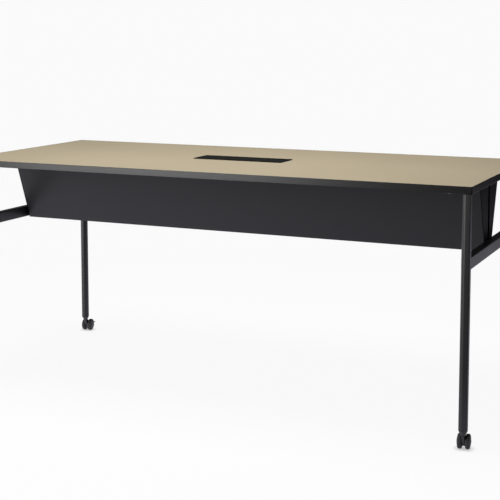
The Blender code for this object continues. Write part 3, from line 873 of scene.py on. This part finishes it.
def folded_sheet(name, half_length, path, bend, sizes, outwards):
    """A sheet that follows (y, z) points, with each inner point a fold and its wall behind the outer face."""
    y, z = path[0]
    bpy.ops.object.select_all(action="DESELECT")
    bpy.ops.mesh.primitive_plane_add(size=1, location=(0, y + 0.5, z))
    bpy.context.object.scale.x = 2 * half_length
    piece = settled(name)
    with Editing(piece, "VERT") as edit:
        edit.pick(lambda point: point.co.y > y + 0.5)
        bpy.ops.mesh.delete(type="VERT")
    with Editing(piece, "EDGE") as edit:
        edit.pick_all()
        for next_y, next_z in path[1:]:
            step = (0, next_y - y, next_z - z)
            bpy.ops.mesh.extrude_edges_move(TRANSFORM_OT_translate={"value": step})
            y, z = next_y, next_z
        edit.pick_all()
        bpy.ops.mesh.normals_make_consistent(inside=False)
    round_edges(piece, lambda edge: not edge.is_boundary, bend, steps=4)
    if not outwards(piece.data.polygons[0].normal):
        with Editing(piece, "FACE") as edit:
            edit.pick_all()
            bpy.ops.mesh.flip_normals()
    thicken(piece, sizes.sheet)
    break_edges(piece, sizes.edge_break)
    shade(piece)
    return piece


def dress_fascias(sizes):
    """The two leaning sides of the trough, each folded over at its top into a flange."""
    for side, sign in SIDES.items():
        node = f"{side}_fascia"
        low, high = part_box(node)
        top = sign * max(abs(low.y), abs(high.y))
        path = [(sign * foot_half(node), low.z), (top, high.z), (top - sign * sizes.flange, high.z)]

        def is_outside(normal):
            return normal.y * sign > 1 - ALONG or normal.z > ALONG

        piece = folded_sheet(f"{side}_fascia_sheet", high.x, path, sizes.fascia_bend, sizes, is_outside)
        stands_for(piece, node)


def dress_trough_floor(sizes):
    """The trough's floor, folded up at both sides into lips along the fascias."""
    low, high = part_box("trough_floor")
    foot = foot_half("trough_floor")
    path = [(low.y, high.z), (-foot, low.z), (foot, low.z), (high.y, high.z)]
    piece = folded_sheet("trough_pan", high.x, path, sizes.floor_bend, sizes, lambda normal: normal.z < 0)
    stands_for(piece, "trough_floor")


def leaning_panel(name, node, thickness):
    """A plate between two X values that fills the trough's section, narrower below than above."""
    low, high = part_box(node)
    foot = foot_half(node)
    near, far = thickness
    piece = box(name, (near, low.y, low.z), (far, high.y, high.z))
    with Editing(piece, "FACE") as edit:
        for side in SIDES.values():
            edit.pick_all()
            bpy.ops.mesh.bisect(
                plane_co=(0, side * foot, low.z),
                plane_no=(0, side * (high.z - low.z), foot - high.y),
                use_fill=True,
                clear_outer=True,
            )
    return piece


def dress_end_plates(sizes):
    """The trough's ends, with a cable slot from the top down and a pad that is bolted to the crossbar."""
    for end, sign in ENDS.items():
        node = f"{end}_end_plate"
        low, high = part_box(node)
        inner, pad_face = (low.x, high.x) if sign > 0 else (high.x, low.x)
        outer = inner + sign * sizes.end_plate
        piece = leaning_panel(f"{end}_end_panel", node, sorted((inner, outer)))

        half_slot = sizes.slot_width / 2
        sill = low.z + sizes.slot_sill
        near, far = low.x - CUTTER_MARGIN, high.x + CUTTER_MARGIN
        slot = box("slot", (near, -half_slot, sill), (far, half_slot, high.z + CUTTER_MARGIN))

        def is_at_sill(edge):
            return runs_along(edge, X) and middle(edge).z < sill + FIT

        round_edges(slot, is_at_sill, sizes.slot_corner, steps=6)
        cut(piece, slot)

        bar_low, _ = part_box(f"{end}_crossbar")
        near, far = sorted(((inner + outer) / 2, pad_face))
        half_pad = sizes.pad_width / 2
        pad = box("pad", (near, -half_pad, bar_low.z), (far, half_pad, bar_low.z + sizes.pad_height))
        round_edges(pad, lambda edge: runs_along(edge, X), sizes.pad_corner, steps=5)
        unite(piece, pad)
        break_edges(piece, sizes.edge_break)
        shade(piece)
        stands_for(piece, node)
        coated(piece, "dull_panel")


# End frames


def dress_legs(sizes):
    """Four round tubes, each with one square corner, which points out to the table's corner."""
    for corner in CORNERS:
        low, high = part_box(f"{corner}_leg")
        axis = (low + high) / 2
        reach = (high.x - low.x) / 2
        outer = Vector((math.copysign(reach, axis.x), math.copysign(reach, axis.y), 0))

        def is_square(edge):
            return is_upright(edge) and (middle(edge) - axis - outer).length < reach / 2

        def is_round(edge):
            return is_upright(edge) and not is_square(edge)

        piece = box(f"{corner}_leg_tube", low, high)
        remove_faces(piece, is_level)
        round_edges(piece, is_round, reach - ROUND_SHORTFALL, steps=14)
        round_edges(piece, is_square, sizes.leg_corner, steps=5)
        thicken(piece, sizes.leg_wall)
        break_edges(piece, sizes.edge_break)
        shade(piece)
        stands_for(piece, f"{corner}_leg")


def dress_leg_plates(sizes):
    """The plates by which the legs are screwed to the top."""
    for corner in CORNERS:
        piece = box(f"{corner}_mounting_plate", *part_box(f"{corner}_leg_plate"))
        round_edges(piece, is_upright, sizes.plate_corner, steps=6)
        break_edges(piece, sizes.edge_break)
        shade(piece)
        stands_for(piece, f"{corner}_leg_plate")


def dress_crossbars(sizes):
    """A bar between the two legs of each end, coped to fit round them, with drain holes below."""
    for end in ENDS:
        node = f"{end}_crossbar"
        low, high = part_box(node)
        under, above = low.z - CUTTER_MARGIN, high.z + CUTTER_MARGIN
        x = (low.x + high.x) / 2
        piece = box(f"{end}_crossbar_tube", low, high)
        round_edges(piece, lambda edge: runs_along(edge, Y), sizes.bar_corner, steps=4)
        for side, sign in SIDES.items():
            leg_low, leg_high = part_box(f"{side}_{end}_leg")
            axis = (leg_low + leg_high) / 2
            radius = (leg_high.x - leg_low.x) / 2 + FIT
            cut(piece, rod("cope", radius, (axis.x, axis.y, under), (axis.x, axis.y, above), WIDE_ROUND))
            y = sign * sizes.drain_spacing / 2
            cut(piece, rod("drain", sizes.drain / 2, (x, y, under), (x, y, low.z + sizes.drain), BORE_ROUND))
        shade(piece)
        stands_for(piece, node)


# Casters, modelled once round their own swivel axis: the axle runs along X, the wheels trail along Y


class CasterPlace:
    """Where a caster stands in the table, and where its axle and pedal lie from its swivel axis."""

    def __init__(self, corner):
        swivel = Vector(JOINTS[f"{corner}_swivel"]["pos_m"])
        wheel = JOINTS[f"{corner}_right_wheel_spin"]
        pedal = Vector(JOINTS[f"{corner}_brake_press"]["pos_m"])
        axle = Vector(wheel["pos_m"])
        self.trail = (axle - swivel).xy.length
        self.axle_height = axle.z
        self.pedal_back = (pedal - swivel).xy.length
        self.pedal_height = pedal.z
        self.top = swivel.z
        turn = math.atan2(wheel["axis"][1], wheel["axis"][0])
        self.whole = Matrix.Translation((swivel.x, swivel.y, 0)) @ Matrix.Rotation(turn, 4, "Z")

    def wheel(self, sign, gap):
        middle_of_face = Matrix.Translation((sign * gap / 2, self.trail, self.axle_height))
        return self.whole @ middle_of_face @ Matrix.Rotation(sign * QUARTER, 4, "Y")

    def pedal(self):
        return self.whole @ Matrix.Translation((0, self.pedal_back, self.pedal_height))


def bore_fork(fork, sizes, place):
    """Bores a fork for the stem, the axle and the pedal's pin, and cuts the slot that the pedal moves in."""
    bore = sizes.stem / 2 + FIT
    seat = sizes.collar / 2 + FIT
    bore_end = place.top - sizes.stem_depth - FIT
    seat_level = place.top - sizes.collar_height
    above = place.top + CUTTER_MARGIN
    stem = [(0, bore_end), (bore, bore_end), (bore, seat_level)]
    stem += [(seat, seat_level), (seat, above), (0, above)]
    cut(fork, lathe("stem_bore", stem, sizes.steps))
    for radius, reach, y, z in (
        (sizes.axle / 2 + FIT, sizes.web, place.trail, place.axle_height),
        (sizes.pin / 2 + FIT, sizes.pin_length / 2 + FIT, place.pedal_back, place.pedal_height),
    ):
        cut(fork, rod("bore", radius, (-reach, y, z), (reach, y, z), BORE_ROUND))
    half_slot = sizes.arm / 2 + sizes.play
    end = sizes.boss / 2 + sizes.boss_play
    low = (-half_slot, place.pedal_back - end, place.pedal_height - end - sizes.play)
    high = (half_slot, place.pedal_back + sizes.arm_length, place.pedal_height + sizes.lug)
    cut(fork, box("slot", low, high))


def model_fork(sizes, place, leg_radius):
    """The cone under the leg and the web between the wheels."""
    fork = shrink_wrap(
        "fork",
        [
            (0, sizes.neck_height, sizes.web / 2, sizes.web),
            (place.trail, place.axle_height, sizes.web_hub / 2, sizes.web),
            (place.pedal_back, place.pedal_height, sizes.lug / 2, sizes.web),
        ],
    )
    break_edges(fork, sizes.moulding_break, steps=3)
    neck = sizes.neck / 2
    rise = place.top - sizes.neck_height
    flare = [(neck + (leg_radius - neck) * out, sizes.neck_height + rise * up) for up, out in CONE_FLARE]
    unite(fork, lathe("cone", [(0, sizes.neck_height), *flare, (0, place.top)], sizes.steps))
    bore_fork(fork, sizes, place)
    shade(fork)
    return fork


def model_tyre(sizes, radius):
    """The tread, with round shoulders."""
    inside = radius - sizes.tread
    width, shoulder = sizes.tread_width, sizes.shoulder
    profile = [(inside, 0)]
    profile += arc((radius - shoulder, shoulder), shoulder, -QUARTER, 0, steps=7)
    profile += arc((radius - shoulder, width - shoulder), shoulder, 0, QUARTER, steps=7)
    profile += [(inside, width), (inside, 0)]
    tyre = lathe("tyre", profile, sizes.steps)
    shade(tyre)
    return tyre


def model_hub(sizes, radius):
    """The wheel's disc: a blind bore on its inner side, and a domed face with a ring groove and a cap."""
    rim = radius - sizes.tread - FIT
    dome_radius = (rim**2 + sizes.dome**2) / (2 * sizes.dome)

    def face(at, rise=0.0):
        """A point of the face, raised or sunk."""
        dome = sizes.tread_width + sizes.dome - dome_radius + math.sqrt(dome_radius**2 - at**2)
        return (at, dome + rise)

    bore = sizes.axle / 2 + FIT
    bore_end = sizes.axle_reach + FIT
    outer, inner = sizes.groove + sizes.groove_width / 2, sizes.groove - sizes.groove_width / 2
    draft = sizes.groove_draft
    cap_edge = sizes.cap - draft
    profile = [(0, bore_end), (bore, bore_end), (bore, 0), (rim, 0)]
    profile += [face(at) for at in (rim, (rim + outer) / 2, outer)]
    profile += [face(at, -sizes.groove_depth) for at in (outer - draft, inner + draft)]
    steps = 5
    profile += [face(inner + (sizes.cap - inner) * step / steps) for step in range(steps + 1)]
    profile += [face(at, sizes.cap_rise) for at in (cap_edge, cap_edge / 2, 0)]
    hub = lathe("hub", profile, sizes.steps)
    shade(hub)
    return hub


def model_pedal(sizes):
    """The brake pedal round its pin: boss, arm and a ribbed foot plate with rounded corners."""
    edge = sizes.foot_thickness / 2
    elbow = Vector((math.cos(sizes.arm_drop), -math.sin(sizes.arm_drop))) * sizes.arm_length
    along = Vector((math.cos(sizes.foot_drop), -math.sin(sizes.foot_drop)))
    over = Vector((-along.y, along.x))
    pedal = shrink_wrap("pedal", [(0, 0, sizes.boss / 2, sizes.arm), (elbow.x, elbow.y, edge, sizes.arm)])
    half = sizes.foot / 2
    plate = box("plate", (-half, -edge, -edge), (half, sizes.foot_length + edge, edge))
    round_edges(plate, lambda rim: is_upright(rim) and middle(rim).y > 0, sizes.foot_corner, steps=6)
    break_edges(plate, sizes.moulding_break, steps=3)
    plate.rotation_euler.x = -sizes.foot_drop
    plate.location = (0, elbow.x, elbow.y)
    only(plate)
    unite(pedal, settled("plate"))
    reach = half - sizes.rib_margin
    for share in RIB_PLACES:
        y, z = elbow + along * sizes.foot_length * share + over * edge
        unite(pedal, rod("rib", sizes.rib / 2, (-reach, y, z), (reach, y, z), RIB_ROUND))
    reach = sizes.pin_length / 2
    unite(pedal, rod("pin", sizes.pin / 2, (-reach, 0, 0), (reach, 0, 0), BORE_ROUND))
    shade(pedal)
    return pedal


def dress_casters(sizes):
    """One caster's pieces, copied to the four legs; its stem, axle and socket stay as they are."""
    leg_low, leg_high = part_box(f"{CORNERS[0]}_leg")
    first = CasterPlace(CORNERS[0])
    fork = model_fork(sizes, first, (leg_high.x - leg_low.x) / 2)
    tyre = model_tyre(sizes, first.axle_height)
    hub = model_hub(sizes, first.axle_height)
    pedal = model_pedal(sizes)
    for corner in CORNERS:
        place = CasterPlace(corner)
        name = f"{corner}_caster"
        stands_for(copy_of(fork, f"{name}_yoke", place.whole), f"{name}_fork")
        stands_for(copy_of(pedal, f"{name}_foot_lever", place.pedal()), f"{name}_brake_pedal")
        for side, sign in ENDS.items():
            at = place.wheel(sign, sizes.wheel_gap)
            stands_for(copy_of(hub, f"{name}_{side}_disc", at), f"{name}_{side}_hub")
            stands_for(copy_of(tyre, f"{name}_{side}_tread", at), f"{name}_{side}_tyre")
        keep_solid(f"{name}_stem")
        keep_solid(f"{name}_axle")
        keep_solid(f"{corner}_socket")
    for master in (fork, tyre, hub, pedal):
        bpy.data.objects.remove(master)


# Screws and bolts


def model_screw(sizes):
    """A button head with a hexagon socket, standing on the level that it is screwed down to."""
    head, rise = sizes.screw_head / 2, sizes.screw_rise
    profile = [(0, 0), *((head * out, rise * up) for out, up in BUTTON_HEAD), (0, rise)]
    screw = lathe("screw", profile, BORE_ROUND)
    socket = sizes.screw_socket / math.sqrt(3)
    cut(screw, rod("socket", socket, (0, 0, rise * SOCKET_FLOOR), (0, 0, rise + CUTTER_MARGIN), HEXAGON))
    shade(screw)
    return screw


def model_bolt(sizes):
    """A hexagon head on a washer."""
    head = sizes.bolt_head / 2
    washer_top = head * WASHER[-1][1]
    profile = [(0, 0), *((head * out, head * up) for out, up in WASHER), (0, washer_top)]
    washer = lathe("bolt", profile, BORE_ROUND)
    hexagon = rod("hexagon", head, (0, 0, 0), (0, 0, head), HEXAGON)
    break_edges(hexagon, head * HEAD_BREAK)
    unite(washer, hexagon)
    shade(washer)
    return washer


def place_all(master, places, name, node):
    """Copies a fastener to its places as one piece of bright steel."""
    copies = [copy_of(master, f"{name}_one", place) for place in places]
    rides_with(joined(copies, name), node, "steel")
    bpy.data.objects.remove(master)


def plate_screw_places(sizes):
    """Three corners of each leg plate, and not the one that stands on the leg."""
    for corner in CORNERS:
        low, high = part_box(f"{corner}_leg_plate")
        leg_low, leg_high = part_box(f"{corner}_leg")
        axis = ((leg_low + leg_high) / 2).xy
        inset = sizes.screw_inset
        for x in (low.x + inset, high.x - inset):
            for y in (low.y + inset, high.y - inset):
                if (Vector((x, y)) - axis).length > leg_high.x - leg_low.x:
                    yield Matrix.Translation((x, y, low.z)) @ HEAD_DOWN


def flange_screw_places(sizes):
    """Along both flanges of the trough, from below."""
    for side, sign in SIDES.items():
        low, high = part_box(f"{side}_fascia")
        y = sign * (max(abs(low.y), abs(high.y)) - sizes.flange / 2)
        count = sizes.flange_screws
        for step in range(count):
            x = low.x + (high.x - low.x) * (step + 0.5) / count
            yield Matrix.Translation((x, y, high.z - sizes.sheet)) @ HEAD_DOWN


def pad_bolt_places(sizes):
    """Two on the inside of each end plate, behind its pad."""
    for end, sign in ENDS.items():
        low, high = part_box(f"{end}_end_plate")
        bar_low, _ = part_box(f"{end}_crossbar")
        x = low.x if sign > 0 else high.x
        for side in SIDES.values():
            at = (x, side * sizes.bolt_spacing / 2, bar_low.z + sizes.pad_height / 2)
            yield Matrix.Translation(at) @ Matrix.Rotation(-sign * QUARTER, 4, "Y")


# Stage


def in_picture(nodes):
    """1 where the camera looks straight at a surface, 0 in mirrored and scattered light."""
    return nodes.node("ShaderNodeLightPath", {}, {}, "Is Camera Ray")


def lay_floor(stage):
    """A wide pale floor, lit through near the table, with a painted contact shadow where things stand on it, and
    as bright as the backdrop farther off.
    """
    bpy.ops.object.select_all(action="DESELECT")
    bpy.ops.mesh.primitive_plane_add(size=2 * stage.floor_reach)
    floor = settled("studio_floor")
    paper = Finish("studio_paper", Specular_IOR_Level=0.0, Roughness=0.9, Emission_Strength=stage.backdrop)
    x, y = (paper.node("ShaderNodeSeparateXYZ", {}, {"Vector": paper.place()}, axis) for axis in "XY")
    far = (x * x + y * y).within(*FAR_FADE)
    lit = y.within(*FRONT_FADE) * y.within(*BACK_FADE)
    behind = y.within(*BEHIND)
    rightward = x.within(*SPILL_FADE) * (1 - behind) + x.within(*BEHIND_FADE) * behind
    spill = paper.mix(rightward, stage.spill_left, stage.spill_right)
    seen = in_picture(paper)
    tone = paper.mix(far, grey(stage.floor_tone), grey(0))
    bounce = paper.mix(lit, grey(0), grey(stage.floor_bounce))
    paper.feed("Base Color", paper.mix(seen, bounce, tone))
    # Painted contact shadow: the floor's glow in the picture darkens where something stands close to it, as under
    # the wheels.
    painted_contact_shade = paper.node("ShaderNodeAmbientOcclusion", {}, {"Distance": stage.contact_reach}, "AO")
    contact = paper.mix(painted_contact_shade, grey(stage.contact_shadow_tone), grey(stage.floor_glow))
    glow = paper.mix(far, contact, grey(1))
    paper.feed("Emission Color", paper.mix(seen, paper.mix(lit, grey(0), spill), glow))
    floor.data.materials.append(paper.material)


def set_sky(stage):
    """A white backdrop in the picture, and a dim room in what the pieces mirror."""
    world = bpy.data.worlds.new("studio_sky")
    world.use_nodes = True
    sky = Nodes(world.node_tree)
    backdrop = sky.node("ShaderNodeBackground", {}, {"Color": (1, 1, 1, 1), "Strength": stage.backdrop})
    way = sky.node("ShaderNodeTexCoord", {}, {}, "Generated")
    across = sky.node("ShaderNodeSeparateXYZ", {}, {"Vector": way}, "X")
    sides = sky.mix(across.within(*LEFT_FADE), grey(stage.room_right), grey(stage.room_left))
    room_tone = sky.mix((across * across).within(*SIDE_FADE), grey(stage.room_middle), sides)
    room = sky.node("ShaderNodeBackground", {}, {"Color": room_tone})
    both = sky.node("ShaderNodeMixShader", {}, {0: in_picture(sky), 1: room, 2: backdrop})
    sky.plug(sky.tree.nodes["World Output"].inputs["Surface"], both)
    bpy.context.scene.world = world


def soft_box(name, place, target, width, height, watts):
    """A rectangular lamp that faces a point and isn't seen itself."""
    aim = Vector(target) - Vector(place)
    bpy.ops.object.light_add(type="AREA", location=place, rotation=aim.to_track_quat("-Z", "Y").to_euler())
    lamp = bpy.context.object
    lamp.name = name
    lamp.data.shape = "RECTANGLE"
    lamp.data.size = width
    lamp.data.size_y = height
    lamp.data.energy = watts
    lamp.visible_camera = False


def set_light(stage):
    """Two upright soft boxes, which face the table's axis level with themselves, and one overhead."""
    set_sky(stage)
    bpy.context.scene.view_settings.view_transform = "Standard"
    key, side, top = stage.key_place, stage.side_place, stage.top_place
    soft_box("key_light", key, (0, 0, key.z), stage.key_width, stage.key_height, stage.key_watts)
    soft_box("side_light", side, (0, 0, side.z), stage.side_width, stage.side_height, stage.side_watts)
    soft_box("top_light", top, (top.x, top.y, 0), stage.top_width, stage.top_depth, stage.top_watts)


def set_camera(stage):
    """The photograph's view."""
    bpy.ops.object.camera_add(location=stage.eye, rotation=(QUARTER - stage.pitch, 0, stage.yaw))
    camera = bpy.context.object
    camera.name = "photo_view"
    camera.data.sensor_width = SENSOR_WIDTH
    camera.data.lens = stage.lens
    camera.data.shift_y = stage.rise
    bpy.context.scene.camera = camera


# Operators


class DRESSING_OT_top(bpy.types.Operator):
    """Model the laminate and the edge band, and finish the board and its backing sheet"""

    bl_idname = "dressing.top"
    bl_label = "Table top"

    def execute(self, context):
        sizes = context.scene.table_sizes
        dress_laminate(sizes)
        dress_band(sizes)
        keep_solid("top_core")
        keep_solid("top_backer")
        return {"FINISHED"}


class DRESSING_OT_access(bpy.types.Operator):
    """Model the cable access frame and its flap, and finish the hinge pins"""

    bl_idname = "dressing.access"
    bl_label = "Cable access"

    def execute(self, context):
        sizes = context.scene.table_sizes
        dress_liner(sizes)
        dress_lid(sizes)
        for end in ENDS:
            keep_solid(f"{end}_hinge_pin")
        return {"FINISHED"}


class DRESSING_OT_trough(bpy.types.Operator):
    """Model the cable trough's fascias, floor and end plates"""

    bl_idname = "dressing.trough"
    bl_label = "Cable trough"

    def execute(self, context):
        sizes = context.scene.table_sizes
        dress_fascias(sizes)
        dress_trough_floor(sizes)
        dress_end_plates(sizes)
        return {"FINISHED"}


class DRESSING_OT_frames(bpy.types.Operator):
    """Model the legs, their mounting plates and the crossbars"""

    bl_idname = "dressing.frames"
    bl_label = "End frames"

    def execute(self, context):
        sizes = context.scene.table_sizes
        dress_legs(sizes)
        dress_leg_plates(sizes)
        dress_crossbars(sizes)
        return {"FINISHED"}


class DRESSING_OT_casters(bpy.types.Operator):
    """Model one caster and copy it to the four legs"""

    bl_idname = "dressing.casters"
    bl_label = "Casters"

    def execute(self, context):
        dress_casters(context.scene.caster_sizes)
        return {"FINISHED"}


class DRESSING_OT_screws(bpy.types.Operator):
    """Add the screws of the leg plates and flanges, and the bolts of the pads"""

    bl_idname = "dressing.screws"
    bl_label = "Screws and bolts"

    def execute(self, context):
        sizes = context.scene.table_sizes
        place_all(model_screw(sizes), plate_screw_places(sizes), "leg_plate_screws", "top_core")
        place_all(model_screw(sizes), flange_screw_places(sizes), "flange_screws", "top_core")
        place_all(model_bolt(sizes), pad_bolt_places(sizes), "pad_bolts", "top_core")
        return {"FINISHED"}


class DRESSING_OT_stage(bpy.types.Operator):
    """Lay the floor, and set the light and the camera"""

    bl_idname = "dressing.stage"
    bl_label = "Stage"

    def execute(self, context):
        stage = context.scene.table_stage
        lay_floor(stage)
        set_light(stage)
        set_camera(stage)
        return {"FINISHED"}


OPERATORS = (
    DRESSING_OT_top,
    DRESSING_OT_access,
    DRESSING_OT_trough,
    DRESSING_OT_frames,
    DRESSING_OT_casters,
    DRESSING_OT_screws,
    DRESSING_OT_stage,
)
GROUPS = {
    "table_sizes": TableSizes,
    "caster_sizes": CasterSizes,
    "table_colours": TableColours,
    "table_stage": StageSettings,
}


class DRESSING_PT_table(bpy.types.Panel):
    """Pieces of the table, and what they are made from"""

    bl_idname = "DRESSING_PT_table"
    bl_label = "Communal table"
    bl_space_type = "VIEW_3D"
    bl_region_type = "UI"
    bl_category = "Table"

    def draw(self, context):
        for operator in OPERATORS:
            self.layout.operator(operator.bl_idname)
        for name in GROUPS:
            settings = getattr(context.scene, name)
            column = self.layout.column(heading=settings.bl_rna.name)
            for field in settings.__annotations__:
                column.prop(settings, field)


CLASSES = (*GROUPS.values(), *OPERATORS, DRESSING_PT_table)


def register():
    for made in CLASSES:
        bpy.utils.register_class(made)
    for name, group in GROUPS.items():
        setattr(bpy.types.Scene, name, PointerProperty(type=group))


def unregister():
    for name in GROUPS:
        delattr(bpy.types.Scene, name)
    for made in reversed(CLASSES):
        bpy.utils.unregister_class(made)


def main():
    register()
    bpy.ops.dressing.top()
    bpy.ops.dressing.access()
    bpy.ops.dressing.trough()
    bpy.ops.dressing.frames()
    bpy.ops.dressing.casters()
    bpy.ops.dressing.screws()
    bpy.ops.dressing.stage()


if __name__ == "__main__":
    main()
